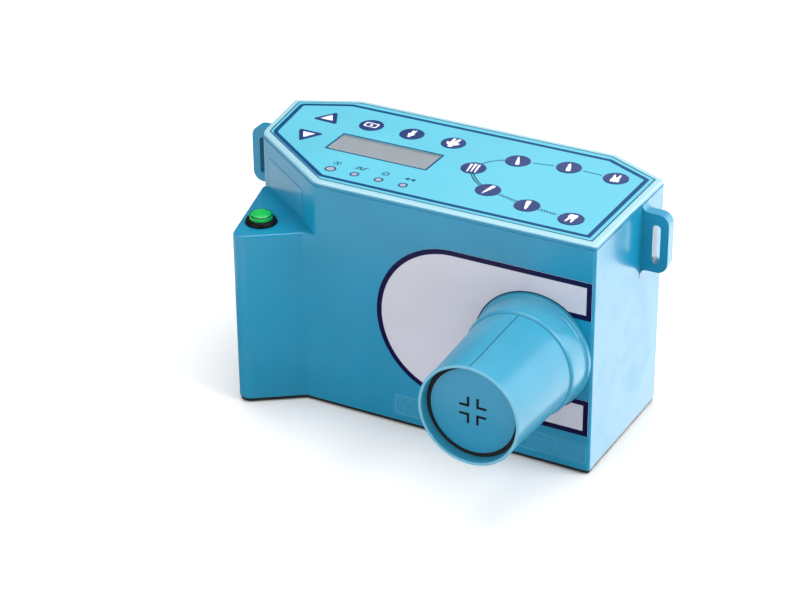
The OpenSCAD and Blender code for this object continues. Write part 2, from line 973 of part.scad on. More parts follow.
// Finned heat sink on the inverter board.
module heat_sink() {
    y = inv_y;
    color([0.75, 0.76, 0.78])
        union() {
            box_between([-16, y - 4, z_case + 48], [30, y, z_case + 88]);
            for (k = [0:7])
                box_between([-16 + 6.3 * k, y - 18, z_case + 48],
                    [-14.1 + 6.3 * k, y - 3, z_case + 88]);
        }
}

// ---- power switch and charge socket on the back -----------------------------

module at_switch() {
    translate([rocker_at[0], back_y, rocker_at[1]])
        children();
}

module switch_bezel() {
    color([0.05, 0.05, 0.055])
        at_switch()
            difference() {
                union() {
                    translate([0, 1, 0])
                        cube([15, 2, 21], center = true);
                    translate([0, -7, 0])
                        cube([13, 15, 19], center = true);
                }
                translate([0, -2.5, 0])
                    cube([10.4, 11, 16.6], center = true);
                translate([0, -2.5, 0])
                    rotate([0, 90, 0])
                        cylinder(h = 12, r = 1.05, center = true, $fn = small_fn);
            }
}

// Rocker: a shallow V across a round back, swinging about X.
module switch_rocker() {
    color([0.6, 0.05, 0.05])
        at_switch()
            translate([0, -2.5, 0])
                union() {
                    rotate([-rocker_swing / 2, 0, 0])
                        intersection() {
                            rotate([0, 90, 0])
                                cylinder(h = 10, r = 8.1, center = true, $fn = part_fn);
                            translate([-5, 0, 0])
                                rotate([90, 0, 90])
                                    linear_extrude(10)
                                        polygon([[-2, -5], [5.9, -8.5], [4.4, 0],
                                            [5.9, 8.5], [-2, 5]]);
                        }
                    rotate([0, 90, 0])
                        cylinder(h = 11.8, r = 1, center = true, $fn = small_fn);
                }
}

module charge_socket() {
    color([0.07, 0.07, 0.075])
        translate([jack_at[0], back_y, jack_at[1]])
            rotate([-90, 0, 0])
                difference() {
                    union() {
                        rod(0, 1.5, 5.6, small_fn);
                        rod(-11, 0.5, 4, small_fn);
                    }
                    difference() {
                        rod(-9, 3, 2.8, small_fn);
                        rod(-10, 1, 1, 16);
                    }
                }
}

case_shell();
base_plate();
rubber_feet();
base_screws();
panel_plate();
key_preset();
key_child();
key_adult();
key_lower_1();
key_lower_2();
key_lower_3();
key_lower_4();
key_upper_1();
key_upper_2();
key_upper_3();
key_up();
key_down();
display_window();
display_frame();
display_glass();
led_left();
led_mid_left();
led_mid_right();
led_right();
control_board();
key_switches();
board_screws();
front_decal();
front_strip();
side_label();
button_bezel();
button_cap();
button_spring();
button_nut();
button_switch();
cone_collar();
collar_ring();
cone_tube();
cone_gasket();
cone_cap();
aim_marks();
beam_filter();
collimator();
tank_body();
tank_cover();
tank_screws();
tube_glass();
tube_anode();
tube_cathode();
transformer_core();
transformer_coils();
multiplier_board();
battery_cells();
battery_tray();
inverter_board();
inverter_parts();
heat_sink();
switch_bezel();
switch_rocker();
charge_socket();
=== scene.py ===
"""Looks of the portable dental x-ray unit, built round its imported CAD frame.

The CAD nodes are shown as they are, welded, softened at their edges and given
finishes. Printed and small moulded details are built here and ride on the same
bodies. Lengths are millimetres until they reach a mesh, except on the stage, which
is in metres.
"""

import json
import math

import bmesh
import bpy
from mathutils import Matrix, Vector


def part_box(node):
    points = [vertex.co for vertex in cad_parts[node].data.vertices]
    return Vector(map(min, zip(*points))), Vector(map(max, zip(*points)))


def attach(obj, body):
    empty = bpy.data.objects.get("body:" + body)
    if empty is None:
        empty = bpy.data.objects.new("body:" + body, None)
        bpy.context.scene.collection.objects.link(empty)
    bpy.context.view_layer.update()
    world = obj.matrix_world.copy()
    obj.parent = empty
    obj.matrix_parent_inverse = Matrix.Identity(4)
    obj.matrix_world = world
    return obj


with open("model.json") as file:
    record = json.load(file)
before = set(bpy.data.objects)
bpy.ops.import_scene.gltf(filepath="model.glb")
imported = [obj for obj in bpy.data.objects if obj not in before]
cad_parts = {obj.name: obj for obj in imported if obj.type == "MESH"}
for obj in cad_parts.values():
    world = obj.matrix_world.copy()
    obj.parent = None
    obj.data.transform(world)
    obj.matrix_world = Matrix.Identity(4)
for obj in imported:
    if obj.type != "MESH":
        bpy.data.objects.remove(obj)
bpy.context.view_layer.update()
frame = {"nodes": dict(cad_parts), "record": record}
NODES = frame["nodes"]
MM = 0.001


# ---- places taken from the frame --------------------------------------------

def box_mm(node):
    """Lowest and highest corner of a CAD node in millimetres."""
    low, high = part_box(node)
    return low / MM, high / MM


def centre_mm(node):
    """Middle of a CAD node's box in millimetres."""
    low, high = box_mm(node)
    return (low + high) / 2


PANEL_Z = box_mm("panel_plate")[1].z
CONE_C = centre_mm("cone_tube")


# ---- flat outlines ----------------------------------------------------------

def circle(radius, x=0.0, y=0.0, steps=40, start=0.0, turn=360.0):
    """Points on a circle or, with turn below 360, on an open arc."""
    count = steps if turn >= 360 else steps + 1
    angles = [math.radians(start + turn * k / steps) for k in range(count)]
    return [(x + radius * math.cos(a), y + radius * math.sin(a)) for a in angles]


def rounded(points, radii, steps=8):
    """Closed outline with each corner turned into an arc of its own radius."""
    if isinstance(radii, (int, float)):
        radii = [radii] * len(points)
    out = []
    for k, radius in enumerate(radii):
        b = Vector(points[k])
        u = (Vector(points[k - 1]) - b).normalized()
        v = (Vector(points[(k + 1) % len(points)]) - b).normalized()
        half = u.angle(v) / 2
        if radius < 0.01 or half > math.radians(89):
            out.append((b.x, b.y))
            continue
        reach = radius / math.tan(half)
        centre = b + (u + v).normalized() * radius / math.sin(half)
        start, end = b + u * reach - centre, b + v * reach - centre
        sweep = start.angle_signed(end)
        for s in range(steps + 1):
            turned = Matrix.Rotation(-sweep * s / steps, 2) @ start
            out.append(tuple(centre + turned))
    return out


def inset_corners(points, insets):
    """Corners of a counter-clockwise outline whose side k is moved in by insets[k]."""
    lines = []
    for k, inset in enumerate(insets):
        a, b = Vector(points[k]), Vector(points[(k + 1) % len(points)])
        along = (b - a).normalized()
        inward = Vector((-along.y, along.x))
        lines.append((a + inward * inset, along))
    corners = []
    for k in range(len(lines)):
        (p, d), (q, e) = lines[k - 1], lines[k]
        t = (q - p).cross(e) / d.cross(e)
        corners.append(tuple(p + d * t))
    return corners


def side_step(points, offset):
    """Line parallel to a polyline, to its left by offset."""
    pts = [Vector(p) for p in points]
    out = []
    for k, p in enumerate(pts):
        along = (pts[min(k + 1, len(pts) - 1)] - pts[max(k - 1, 0)]).normalized()
        out.append((p.x - along.y * offset, p.y + along.x * offset))
    return out


def stroke(points, width):
    """Outline of a line of constant width drawn through points."""
    return side_step(points, width / 2) + side_step(points, -width / 2)[::-1]


def moved(loop, x=0.0, y=0.0, turn=0.0):
    """Outline turned by degrees and then moved."""
    c, s = math.cos(math.radians(turn)), math.sin(math.radians(turn))
    return [(x + c * u - s * v, y + s * u + c * v) for u, v in loop]


def rectangle(x0, x1, y0, y1, grow=0.0):
    """Rectangle between two corners, made larger by grow all round."""
    x0, x1, y0, y1 = x0 - grow, x1 + grow, y0 - grow, y1 + grow
    return [(x0, y0), (x1, y0), (x1, y1), (x0, y1)]


def lengthened(a, b, extra):
    """Segment from a to b made longer by extra at both ends."""
    a, b = Vector(a), Vector(b)
    along = (b - a).normalized() * extra
    return [tuple(a - along), tuple(b + along)]


def curve_to(start, leave, arrive, end):
    """Cubic curve between two points; leave and arrive are the offsets of its handles."""
    start, end = Vector(start), Vector(end)
    first, last = start + Vector(leave), end + Vector(arrive)
    steps = 14
    out = []
    for k in range(steps + 1):
        t = k / steps
        out.append((1 - t) ** 3 * start + 3 * t * (1 - t) ** 2 * first
                   + 3 * t * t * (1 - t) * last + t ** 3 * end)
    return out


# ---- meshes -----------------------------------------------------------------

SHARP_ANGLE = 35.0      # degrees; sharper edges are rounded
SMOOTH_ANGLE = 50.0     # degrees; flatter edges are shaded smooth


def add_piece(name, mesh, material, body):
    """Links a mesh as a named piece that rides on a CAD body."""
    piece = bpy.data.objects.new(name, mesh)
    bpy.context.scene.collection.objects.link(piece)
    mesh.materials.append(material)
    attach(piece, body)


def sheet_mesh(name, loops, place, thickness):
    """Thin sheet with even-odd filled loops, its back on the place's plane."""
    curve = bpy.data.curves.new(name, "CURVE")
    curve.dimensions = "2D"
    curve.fill_mode = "BOTH"
    curve.extrude = thickness / 2 * MM
    for loop in loops:
        spline = curve.splines.new("POLY")
        spline.points.add(len(loop) - 1)
        for point, (u, v) in zip(spline.points, loop):
            point.co = (u * MM, v * MM, 0, 1)
        spline.use_cyclic_u = True
    holder = bpy.data.objects.new(name, curve)
    bpy.context.scene.collection.objects.link(holder)
    bpy.context.view_layer.update()
    depsgraph = bpy.context.evaluated_depsgraph_get()
    mesh = bpy.data.meshes.new_from_object(holder.evaluated_get(depsgraph))
    bpy.data.objects.remove(holder)
    bpy.data.curves.remove(curve)
    bm = bmesh.new()
    bm.from_mesh(mesh)
    bmesh.ops.remove_doubles(bm, verts=bm.verts, dist=1e-7)
    bmesh.ops.recalc_face_normals(bm, faces=bm.faces)
    bm.to_mesh(mesh)
    bm.free()
    mesh.transform(place @ Matrix.Translation((0, 0, thickness / 2 * MM)))
    mesh.name = name
    return mesh


def add_sheet(name, loops, place, thickness, material, body):
    """Thin flat piece on a CAD body."""
    add_piece(name, sheet_mesh(name, loops, place, thickness), material, body)


def facing_up(x=0.0, y=0.0, z=PANEL_Z):
    """Plane facing up at a height, by default on the panel film."""
    return Matrix.Translation(Vector((x, y, z)) * MM)


def for_operator(x, y, z=PANEL_Z):
    """Plane facing up, turned so that the operator behind the unit reads it upright."""
    return facing_up(x, y, z) @ Matrix.Rotation(math.pi, 4, "Z")


def facing_front(y):
    """Plane facing the front: u runs along +X and v up."""
    return Matrix.Translation((0, y * MM, 0)) @ Matrix.Rotation(math.pi / 2, 4, "X")


def add_bevel(piece, width):
    """Rounds the sharp edges of a piece; width is in millimetres."""
    bevel = piece.modifiers.new("bevel", "BEVEL")
    bevel.width = width * MM
    bevel.segments = 2
    bevel.limit_method = "ANGLE"
    bevel.angle_limit = math.radians(SHARP_ANGLE)


def new_geometry_group(name):
    """Empty geometry node group with its input and output nodes."""
    group = bpy.data.node_groups.new(name, "GeometryNodeTree")
    for way in ("INPUT", "OUTPUT"):
        group.interface.new_socket("Geometry", in_out=way, socket_type="NodeSocketGeometry")
    return group, group.nodes.new("NodeGroupInput"), group.nodes.new("NodeGroupOutput")


def chain(group, nodes):
    """Links the first output of each node to the first input of the next."""
    for a, b in zip(nodes, nodes[1:]):
        group.links.new(a.outputs[0], b.inputs[0])


def weld_group():
    """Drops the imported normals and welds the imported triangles."""
    group, source, sink = new_geometry_group("weld")
    drop = group.nodes.new("GeometryNodeRemoveAttribute")
    drop.inputs["Name"].default_value = "custom_normal"
    weld = group.nodes.new("GeometryNodeMergeByDistance")
    weld.inputs["Distance"].default_value = 1e-6
    chain(group, [source, drop, weld, sink])
    return group


def smooth_group():
    """Shades smooth across edges that turn less than SMOOTH_ANGLE."""
    group, source, sink = new_geometry_group("smooth")
    faces = group.nodes.new("GeometryNodeSetShadeSmooth")
    faces.domain = "FACE"
    faces.inputs["Shade Smooth"].default_value = True
    edges = group.nodes.new("GeometryNodeSetShadeSmooth")
    edges.domain = "EDGE"
    angle = group.nodes.new("GeometryNodeInputMeshEdgeAngle")
    compare = group.nodes.new("FunctionNodeCompare")
    compare.operation = "LESS_THAN"
    compare.inputs[1].default_value = math.radians(SMOOTH_ANGLE)
    group.links.new(angle.outputs[0], compare.inputs[0])
    group.links.new(compare.outputs[0], edges.inputs["Shade Smooth"])
    chain(group, [source, faces, edges, sink])
    return group


# ---- finishes ---------------------------------------------------------------

class Finish:
    """Node tree of one material, with short calls for the usual patterns.

    Patterns are sized in repeats per metre and relief in millimetres. A stretch
    multiplies that count along each axis.
    """

    def __init__(self, name, base, rough, metallic=0.0, specular=0.5):
        self.material = bpy.data.materials.new(name)
        self.material.use_nodes = True
        self.tree = self.material.node_tree
        self.tree.nodes.clear()
        self.shader = self.add("ShaderNodeBsdfPrincipled")
        self.output = self.add("ShaderNodeOutputMaterial")
        self.wire(self.shader.outputs[0], self.output.inputs[0])
        self.where = self.add("ShaderNodeTexCoord").outputs["Object"]
        self.colour = self.rgb(base)
        self.rough = self.value(rough)
        self.normal = None
        self.put("Metallic", metallic)
        self.put("Specular IOR Level", specular)

    def add(self, kind):
        """New node of a kind."""
        return self.tree.nodes.new(kind)

    def wire(self, source, target):
        """Links an output to an input."""
        self.tree.links.new(source, target)

    def put(self, socket, value):
        """Fixed value of one input of the main shader."""
        self.shader.inputs[socket].default_value = value

    def rgb(self, colour):
        """Fixed colour as a socket."""
        node = self.add("ShaderNodeRGB")
        node.outputs[0].default_value = (*colour, 1)
        return node.outputs[0]

    def value(self, number):
        """Fixed number as a socket."""
        node = self.add("ShaderNodeValue")
        node.outputs[0].default_value = number
        return node.outputs[0]

    def stretched(self, stretch):
        """Object coordinates scaled along each axis."""
        if stretch == (1, 1, 1):
            return self.where
        node = self.add("ShaderNodeMapping")
        node.inputs["Scale"].default_value = stretch
        self.wire(self.where, node.inputs["Vector"])
        return node.outputs[0]

    def noise(self, per_metre, detail, stretch=(1, 1, 1), twist=0.0):
        """Cloudy pattern from 0 to 1."""
        node = self.add("ShaderNodeTexNoise")
        node.inputs["Scale"].default_value = per_metre
        node.inputs["Detail"].default_value = detail
        node.inputs["Distortion"].default_value = twist
        self.wire(self.stretched(stretch), node.inputs["Vector"])
        return node.outputs[0]

    def cells(self, per_metre, feature="F1"):
        """Distance to scattered points or, by feature, to the edges between them."""
        node = self.add("ShaderNodeTexVoronoi")
        node.feature = feature
        node.inputs["Scale"].default_value = per_metre
        self.wire(self.where, node.inputs["Vector"])
        return node.outputs["Distance"]

    def bands(self, per_metre, axis, twist=0.0):
        """Even waves across one axis."""
        node = self.add("ShaderNodeTexWave")
        node.bands_direction = axis
        node.inputs["Scale"].default_value = per_metre
        node.inputs["Distortion"].default_value = twist
        self.wire(self.where, node.inputs["Vector"])
        return node.outputs[1]

    def ramp(self, source, low, high, to_low=0.0, to_high=1.0):
        """Soft step of the source from to_low at low to to_high at high."""
        node = self.add("ShaderNodeMapRange")
        node.interpolation_type = "SMOOTHSTEP"
        for name, number in (("From Min", low), ("From Max", high),
                             ("To Min", to_low), ("To Max", to_high)):
            node.inputs[name].default_value = number
        self.wire(source, node.inputs["Value"])
        return node.outputs[0]

    def math(self, operation, a, b):
        """Arithmetic on two sockets or numbers."""
        node = self.add("ShaderNodeMath")
        node.operation = operation
        for slot, part in enumerate((a, b)):
            if isinstance(part, (int, float)):
                node.inputs[slot].default_value = part
            else:
                self.wire(part, node.inputs[slot])
        return node.outputs[0]

    def blend(self, mask, colour):
        """Paints colour over the base where the mask is high."""
        node = self.add("ShaderNodeMix")
        node.data_type = "RGBA"
        self.wire(mask, node.inputs[0])
        self.wire(self.colour, node.inputs[6])
        self.wire(self.rgb(colour), node.inputs[7])
        self.colour = node.outputs[2]

    def shade(self, mask, low, high):
        """Multiplies the base by low to high as the mask goes from 0 to 1."""
        factor = self.ramp(mask, 0.3, 0.7, low, high)
        node = self.add("ShaderNodeVectorMath")
        node.operation = "SCALE"
        self.wire(self.colour, node.inputs[0])
        self.wire(factor, node.inputs["Scale"])
        self.colour = node.outputs[0]

    def roughen(self, mask, amount):
        """Adds amount to the roughness where the mask is high."""
        self.rough = self.math("ADD", self.rough, self.math("MULTIPLY", mask, amount))

    def bump(self, height, depth, strength):
        """Adds relief: height 0 to 1 stands for depth millimetres."""
        node = self.add("ShaderNodeBump")
        node.inputs["Strength"].default_value = strength
        node.inputs["Distance"].default_value = depth * MM
        self.wire(height, node.inputs["Height"])
        if self.normal is not None:
            self.wire(self.normal, node.inputs["Normal"])
        self.normal = node.outputs[0]

    def along(self, vector, axis):
        """One axis of a vector: 0, 1 or 2."""
        split = self.add("ShaderNodeSeparateXYZ")
        self.wire(vector, split.inputs[0])
        return split.outputs[axis]

    def edges(self, radius):
        """High along convex and concave edges within radius millimetres."""
        bevel = self.add("ShaderNodeBevel")
        bevel.samples = 4
        bevel.inputs["Radius"].default_value = radius * MM
        flat = self.add("ShaderNodeNewGeometry")
        dot = self.add("ShaderNodeVectorMath")
        dot.operation = "DOT_PRODUCT"
        self.wire(bevel.outputs[0], dot.inputs[0])
        self.wire(flat.outputs["Normal"], dot.inputs[1])
        away = self.math("SUBTRACT", 1.0, dot.outputs["Value"])
        return self.ramp(away, 0.02, 0.25)

    def wear(self, radius, colour, amount):
        """Rubbed and slightly polished edges, broken up by noise."""
        patches = self.ramp(self.noise(140, 4), 0.42, 0.62)
        mask = self.math("MULTIPLY", self.edges(radius), patches)
        mask = self.math("MULTIPLY", mask, amount)
        self.blend(mask, colour)
        self.roughen(mask, -0.08)

    def dust(self, amount, colour=(0.62, 0.6, 0.56)):
        """Light dust on faces that look up."""
        surface = self.add("ShaderNodeNewGeometry")
        up = self.ramp(self.along(surface.outputs["Normal"], 2), 0.5, 0.95)
        specks = self.ramp(self.noise(420, 5), 0.52, 0.75)
        mask = self.math("MULTIPLY", self.math("MULTIPLY", up, specks), amount)
        self.blend(mask, colour)
        self.roughen(mask, 0.4)

    def smudges(self, amount, per_metre=38):
        """Handling marks that only change the gloss."""
        prints = self.ramp(self.noise(per_metre, 5, twist=0.6), 0.45, 0.7)
        self.roughen(prints, amount)

    def scratches(self, depth, amount, stretch=(30, 900, 200)):
        """Fine hair scratches, finest along the axis that is stretched most."""
        hair = self.ramp(self.noise(1.0, 2, stretch=stretch, twist=0.4), 0.66, 0.72)
        self.roughen(hair, amount)
        self.bump(hair, depth, 0.5)

    def coat(self, weight, rough):
        """Clear gloss layer on top."""
        self.put("Coat Weight", weight)
        self.put("Coat Roughness", rough)

    def done(self):
        """Wires the colour, the roughness and the relief, and hands over the material."""
        self.wire(self.colour, self.shader.inputs["Base Color"])
        self.wire(self.rough, self.shader.inputs["Roughness"])
        if self.normal is not None:
            self.wire(self.normal, self.shader.inputs["Normal"])
        return self.material


FINE_GRAIN = 1500       # mould grain of the case, the cone and the bezel, per metre
# Painted highlight: the top of the rim is painted a paler blue over this height.
RIM_HIGHLIGHT_BAND = 1.3          # height of the pale band at the top of the rim
# Painted highlight: a paler band painted round the tip of the cone over this length.
TIP_HIGHLIGHT_BAND = 0.5          # length of the pale band at the tip of the cone


def flow_marks(f):
    """Soft cloudy flow marks of moulded plastic."""
    f.shade(f.noise(22, 3), 0.955, 1.035)


def mould_relief(f, grain_scale, depth):
    """Marks of handling and the surface of moulded plastic: waves, grain, hair scratches."""
    f.smudges(0.08)
    f.bump(f.noise(30, 2), 0.05, 0.5)
    f.bump(f.noise(grain_scale, 3), depth, 0.6)
    f.scratches(0.006, 0.1)


def moulded(name, base, rough, depth, grain_scale, wear, dust=0.05, specular=0.5):
    """Injection-moulded plastic; depth is the relief of its grain."""
    f = Finish(name, base, rough, specular=specular)
    flow_marks(f)
    f.shade(f.noise(grain_scale, 2), 0.985, 1.015)
    f.wear(0.7, tuple(0.55 * c + 0.3 for c in base), wear)
    f.dust(dust)
    mould_relief(f, grain_scale, depth)
    return f.done()


def case_plastic(name, base):
    """The case's moulded plastic, with a paler band painted on the top of the rim round the
    panel as a painted highlight.
    """
    f = Finish(name, base, 0.32)
    flow_marks(f)
    f.shade(f.noise(FINE_GRAIN, 2), 0.985, 1.015)
    rim = box_mm("case_shell")[1].z - RIM_HIGHLIGHT_BAND
    # Painted highlight: paler blue blended onto the top band of the rim.
    f.blend(f.ramp(f.along(f.where, 2), (rim - 0.3) * MM, (rim + 0.3) * MM), RIM_HIGHLIGHT_BLUE)
    f.wear(0.6, WORN_BLUE, 0.22)
    f.dust(0.04)
    mould_relief(f, FINE_GRAIN, 0.01)
    f.coat(0.5, 0.15)
    return f.done()


def cone_plastic(name, rough, coat):
    """The case's plastic on the cone, its colour painted paler to stand for the light it
    catches, with a painted highlight band at its tip.
    """
    f = Finish(name, CONE_LIT_BLUE, rough)
    flow_marks(f)
    f.shade(f.noise(90, 2, (1, 0.1, 1)), 0.97, 1.03)
    tip = box_mm("cone_tube")[0].y + TIP_HIGHLIGHT_BAND
    # Painted highlight: paler blue blended onto the tip of the cone.
    f.blend(f.ramp(f.along(f.where, 1), (tip + 0.2) * MM, (tip - 0.2) * MM), EDGE_HIGHLIGHT_BLUE)
    f.wear(0.6, WORN_BLUE, 0.25)
    mould_relief(f, FINE_GRAIN, 0.01)
    f.coat(coat, 0.15)
    return f.done()


def film(name, base, rough, coat):
    """Printed polyester film with a faint orange-peel surface."""
    f = Finish(name, base, rough)
    f.shade(f.noise(14, 2), 0.97, 1.03)
    f.shade(f.noise(2600, 1), 0.98, 1.02)
    f.dust(0.035)
    f.smudges(0.1, 30)
    f.bump(f.noise(620, 2), 0.012, 0.5)
    f.bump(f.cells(1900), 0.004, 0.4)
    f.scratches(0.004, 0.12, (500, 35, 200))
    f.coat(coat, 0.1)
    return f.done()


def ink(name, base, rough=0.32):
    """Screen-printed ink: uneven density and a few pinholes; the same finish also serves the
    painted shade and highlight lines.
    """
    f = Finish(name, base, rough, specular=0.2)
    f.shade(f.noise(260, 4), 0.88, 1.08)
    holes = f.ramp(f.cells(900), 0.1, 0.04)
    f.roughen(holes, 0.2)
    f.bump(f.noise(1800, 2), 0.006, 0.6)
    f.smudges(0.08)
    return f.done()


def metal(name, base, rough, stretch=(1, 1, 1), per_metre=700):
    """Machined or plated metal with a directional grain and dull spots."""
    f = Finish(name, base, rough, metallic=1.0)
    grain = f.noise(per_metre, 4, stretch)
    f.shade(grain, 0.9, 1.05)
    f.roughen(grain, 0.12)
    stain = f.ramp(f.noise(60, 5), 0.5, 0.72)
    f.blend(f.math("MULTIPLY", stain, 0.25), tuple(c * 0.55 for c in base))
    f.roughen(stain, 0.15)
    f.bump(grain, 0.01, 0.5)
    f.scratches(0.006, 0.1)
    return f.done()


def rubber(name, base):
    """Matt dusty rubber."""
    f = Finish(name, base, 0.78, specular=0.3)
    f.shade(f.noise(300, 5), 0.85, 1.2)
    f.dust(0.1, (0.3, 0.3, 0.29))
    f.bump(f.noise(2400, 3), 0.02, 0.7)
    f.bump(f.noise(90, 2), 0.05, 0.4)
    return f.done()


def clear(name, tint, rough=0.04, haze=0.12):
    """Thin clear plastic or glass: mostly see-through, mirror-like at a glance."""
    f = Finish(name, tint, rough)
    f.smudges(0.12, 50)
    f.bump(f.noise(200, 2), 0.006, 0.4)
    f.scratches(0.004, 0.15)
    f.done()
    see = f.add("ShaderNodeBsdfTransparent")
    see.inputs[0].default_value = (*tint, 1)
    fresnel = f.add("ShaderNodeFresnel")
    fresnel.inputs["IOR"].default_value = 1.49
    share = f.math("ADD", fresnel.outputs[0], haze)
    mix = f.add("ShaderNodeMixShader")
    f.wire(share, mix.inputs[0])
    f.wire(see.outputs[0], mix.inputs[1])
    f.wire(f.shader.outputs[0], mix.inputs[2])
    f.wire(mix.outputs[0], f.output.inputs[0])
    return f.material


def frosted(name, base):
    """Frosted light pipe."""
    f = Finish(name, base, 0.42)
    f.shade(f.noise(500, 3), 0.9, 1.08)
    f.put("Subsurface Weight", 0.25)
    f.put("Subsurface Scale", 0.002)
    f.bump(f.noise(3000, 2), 0.01, 0.6)
    f.smudges(0.1)
    return f.done()


def display(name, base):
    """Switched-off character display: faint grid of cells under the glass."""
    f = Finish(name, base, 0.3)
    low = box_mm("display_glass")[0]
    shift = f.add("ShaderNodeMapping")
    shift.inputs["Location"].default_value = -low * MM
    f.wire(f.where, shift.inputs["Vector"])
    bricks = f.add("ShaderNodeTexBrick")
    bricks.offset = 0.0
    cell = {"Scale": 1.0, "Brick Width": 4.2 * MM, "Row Height": 11.5 * MM,
            "Mortar Size": 0.4 * MM, "Mortar Smooth": 0.3}
    for socket, number in cell.items():
        bricks.inputs[socket].default_value = number
    f.wire(shift.outputs[0], bricks.inputs["Vector"])
    f.blend(f.math("MULTIPLY", f.math("SUBTRACT", 1.0, bricks.outputs["Fac"]), 0.3),
            tuple(c * 0.86 for c in base))
    f.shade(f.noise(40, 2), 0.97, 1.03)
    f.bump(f.noise(900, 2), 0.004, 0.4)
    f.coat(0.5, 0.05)
    return f.done()


def label(name, base):
    """Silvery-grey printed label under a gloss laminate."""
    f = Finish(name, base, 0.34, metallic=0.1)
    f.shade(f.noise(9, 2), 0.96, 1.04)
    f.shade(f.noise(2200, 2), 0.975, 1.02)
    f.smudges(0.1, 26)
    f.bump(f.noise(120, 3), 0.02, 0.4)
    f.bump(f.noise(1500, 2), 0.006, 0.5)
    f.coat(0.4, 0.12)
    return f.done()


def circuit(name, base):
    """Solder mask with copper tracks showing through and glass weave."""
    f = Finish(name, base, 0.4)
    tracks = f.ramp(f.cells(130, "DISTANCE_TO_EDGE"), 0.03, 0.05, 1.0, 0.0)
    f.blend(f.math("MULTIPLY", tracks, 0.6), tuple(c * 1.9 + 0.01 for c in base))
    pads = f.ramp(f.cells(330), 0.16, 0.12)
    f.blend(f.math("MULTIPLY", pads, 0.5), (0.6, 0.55, 0.4))
    f.bump(tracks, 0.03, 0.7)
    f.bump(f.bands(700, "X"), 0.004, 0.4)
    f.bump(f.bands(700, "Y"), 0.004, 0.4)
    f.shade(f.noise(80, 3), 0.92, 1.06)
    return f.done()


def wound(name, base):
    """Layers of varnished wire."""
    f = Finish(name, base, 0.35)
    turns = f.bands(330, "Z", 0.4)
    f.shade(turns, 0.55, 1.15)
    f.bump(turns, 0.25, 0.9)
    f.shade(f.noise(120, 4), 0.85, 1.1)
    f.put("Coat Weight", 0.5)
    return f.done()


def cast(name, base, rough):
    """Cast or pressed grey material with pores."""
    f = Finish(name, base, rough)
    f.shade(f.noise(160, 5), 0.8, 1.2)
    pores = f.ramp(f.cells(700), 0.12, 0.05)
    f.blend(f.math("MULTIPLY", pores, 0.6), tuple(c * 0.5 for c in base))
    f.bump(f.noise(900, 4), 0.03, 0.6)
    f.smudges(0.1)
    return f.done()


def tinted(name, base):
    """Translucent coloured plastic of the button and the rocker."""
    f = Finish(name, base, 0.22)
    f.shade(f.noise(160, 2), 0.93, 1.06)
    f.put("Subsurface Weight", 0.3)
    f.put("Subsurface Radius", (0.2, 1.0, 0.3))
    f.put("Subsurface Scale", 0.0015)
    f.coat(0.4, 0.08)
    f.smudges(0.12, 90)
    f.bump(f.noise(1400, 2), 0.006, 0.5)
    f.scratches(0.005, 0.12)
    return f.done()


CASE_BLUE = (0.0, 0.225, 0.39)
# Paler blue painted on the rim's top band as a painted highlight.
RIM_HIGHLIGHT_BLUE = (0.3, 0.53, 0.63)
WORN_BLUE = (0.3, 0.5, 0.6)
# The case's plastic on the cone, painted paler to stand for the light it catches.
CONE_LIT_BLUE = (0.025, 0.26, 0.41)
# Painted highlight on the cone's tip and on the cut edge of the clear strip.
EDGE_HIGHLIGHT_BLUE = (0.12, 0.38, 0.52)
PANEL_CYAN = (0.095, 0.45, 0.58)
NAVY = (0.003, 0.025, 0.145)
BORDER_BLUE = (0.0, 0.055, 0.17)
DECAL_NAVY = (0.003, 0.002, 0.045)

# How each material slot of the record is made, by the slot's name.
FINISHES = {
    "case_blue": lambda n: case_plastic(n, CASE_BLUE),
    "panel_cyan": lambda n: film(n, PANEL_CYAN, 0.34, 0.1),
    "key_navy": lambda n: film(n, NAVY, 0.3, 0.15),
    "black_plastic": lambda n: moulded(n, (0.012, 0.012, 0.014), 0.42, 0.02, 1100, 0.12),
    "rubber_black": lambda n: rubber(n, (0.012, 0.012, 0.013)),
    "steel": lambda n: metal(n, (0.62, 0.62, 0.63), 0.3),
    "window_clear": lambda n: clear(n, (0.97, 0.97, 0.98), haze=0.02),
    "display_grey": lambda n: display(n, (0.285, 0.345, 0.375)),
    "led_lens": lambda n: frosted(n, (0.34, 0.35, 0.42)),
    "board_green": lambda n: circuit(n, (0.012, 0.13, 0.06)),
    "decal_grey": lambda n: label(n, (0.56, 0.56, 0.64)),
    "strip_clear": lambda n: film(n, (0.02, 0.235, 0.4), 0.22, 0.5),
    "button_green": lambda n: tinted(n, (0.0, 0.47, 0.08)),
    "nut_metal": lambda n: metal(n, (0.72, 0.7, 0.66), 0.2),
    "spring_steel": lambda n: metal(n, (0.6, 0.6, 0.62), 0.28, (1, 1, 6)),
    "aluminium": lambda n: metal(n, (0.7, 0.71, 0.73), 0.32, (8, 1, 1), 300),
    "lead_grey": lambda n: cast(n, (0.16, 0.17, 0.19), 0.55),
    "tube_glass": lambda n: clear(n, (0.9, 0.95, 0.94), 0.02, 0.08),
    "copper": lambda n: metal(n, (0.72, 0.36, 0.22), 0.26, (1, 1, 8)),
    "nickel": lambda n: metal(n, (0.66, 0.64, 0.6), 0.22),
    "ferrite": lambda n: cast(n, (0.04, 0.04, 0.045), 0.5),
    "winding": lambda n: wound(n, (0.42, 0.15, 0.03)),
    "cell_blue": lambda n: film(n, (0.02, 0.1, 0.34), 0.25, 0.5),
    "part_dark": lambda n: moulded(n, (0.03, 0.033, 0.04), 0.45, 0.02, 900, 0.1),
    "rocker_red": lambda n: tinted(n, (0.42, 0.01, 0.01)),
}
SLOT_FINISH = {slot: make(slot) for slot, make in FINISHES.items()}
